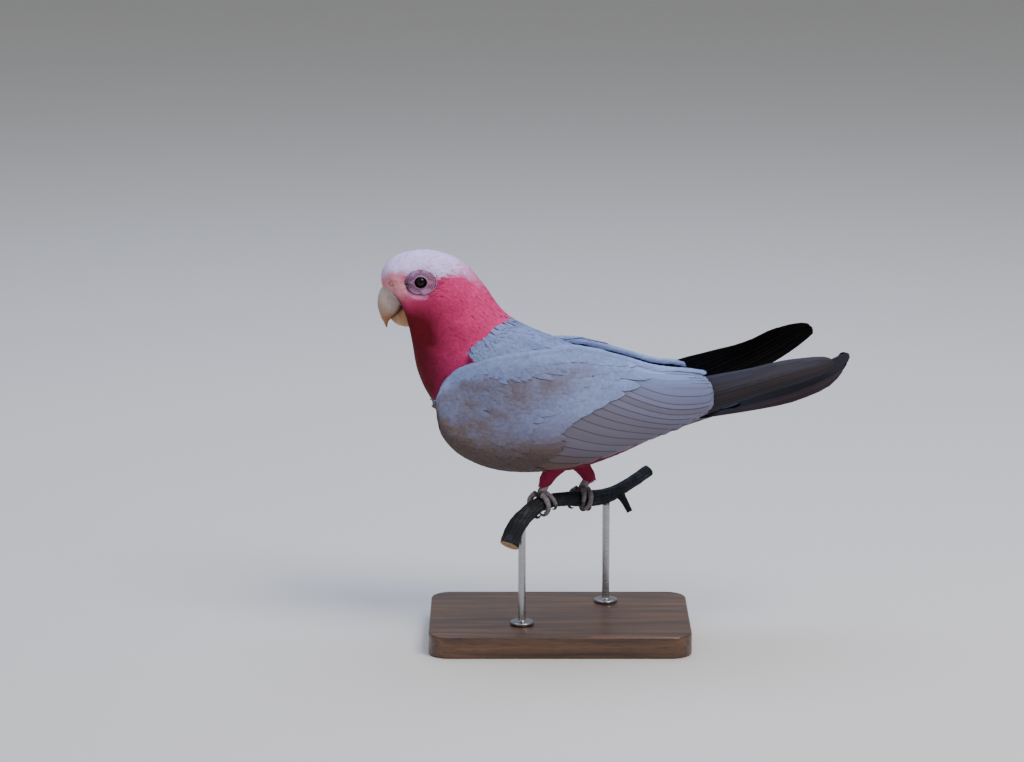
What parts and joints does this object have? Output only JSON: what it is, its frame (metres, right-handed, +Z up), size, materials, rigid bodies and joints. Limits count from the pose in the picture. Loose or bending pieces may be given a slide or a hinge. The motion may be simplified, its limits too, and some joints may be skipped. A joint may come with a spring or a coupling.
{
  "type": "galah cockatoo",
  "caption": "Life-size museum-type model of a grey and rose galah with pale crown, folded wings and raised tail, gripping a cut branch on two rods over a flat wooden base.",
  "frame": {"origin": "centre of the flat underside of the stand's base, at floor level", "axes": "+Z up, the bird faces -X and its left side is -Y; +X runs from its bill to its tail"},
  "size_m": [0.3155, 0.1162, 0.2661],
  "materials": {
    "rose_plumage": "soft silky plumage",
    "crown_plumage": "soft silky plumage",
    "grey_plumage": "matte plumage",
    "flight_feathers": "satin plumage",
    "bill_horn": "satin horn",
    "eye_dark": "polished",
    "eye_skin": "matte wrinkled skin",
    "foot_skin": "matte scaly skin",
    "claw_horn": "satin horn",
    "bark": "rough bark",
    "dark_walnut": "satin oiled",
    "rod_steel": "brushed"
  },
  "bodies": {
    "root": {"head": "rose_plumage", "neck": "rose_plumage", "breast": "rose_plumage", "thigh_left": "rose_plumage", "thigh_right": "rose_plumage", "crest": "crown_plumage", "trunk": "grey_plumage", "wing_left_coverts": "grey_plumage", "wing_right_coverts": "grey_plumage", "wing_left_secondaries": "grey_plumage", "wing_right_secondaries": "grey_plumage", "wing_left_primaries": "flight_feathers", "wing_right_primaries": "flight_feathers", "tail": "flight_feathers", "bill_upper": "bill_horn", "bill_lower": "bill_horn", "eye_left": "eye_dark", "eye_right": "eye_dark", "eye_ring_left": "eye_skin", "eye_ring_right": "eye_skin", "tarsus_left": "foot_skin", "toe_left_inner_front": "foot_skin", "claw_left_inner_front": "claw_horn", "toe_left_outer_front": "foot_skin", "claw_left_outer_front": "claw_horn", "toe_left_inner_back": "foot_skin", "claw_left_inner_back": "claw_horn", "toe_left_outer_back": "foot_skin", "claw_left_outer_back": "claw_horn", "tarsus_right": "foot_skin", "toe_right_inner_front": "foot_skin", "claw_right_inner_front": "claw_horn", "toe_right_outer_front": "foot_skin", "claw_right_outer_front": "claw_horn", "toe_right_inner_back": "foot_skin", "claw_right_inner_back": "claw_horn", "toe_right_outer_back": "foot_skin", "claw_right_outer_back": "claw_horn", "perch_branch": "bark", "stand_base": "dark_walnut", "stand_rod_1": "rod_steel", "stand_rod_2": "rod_steel"}
  },
  "joints": []
}
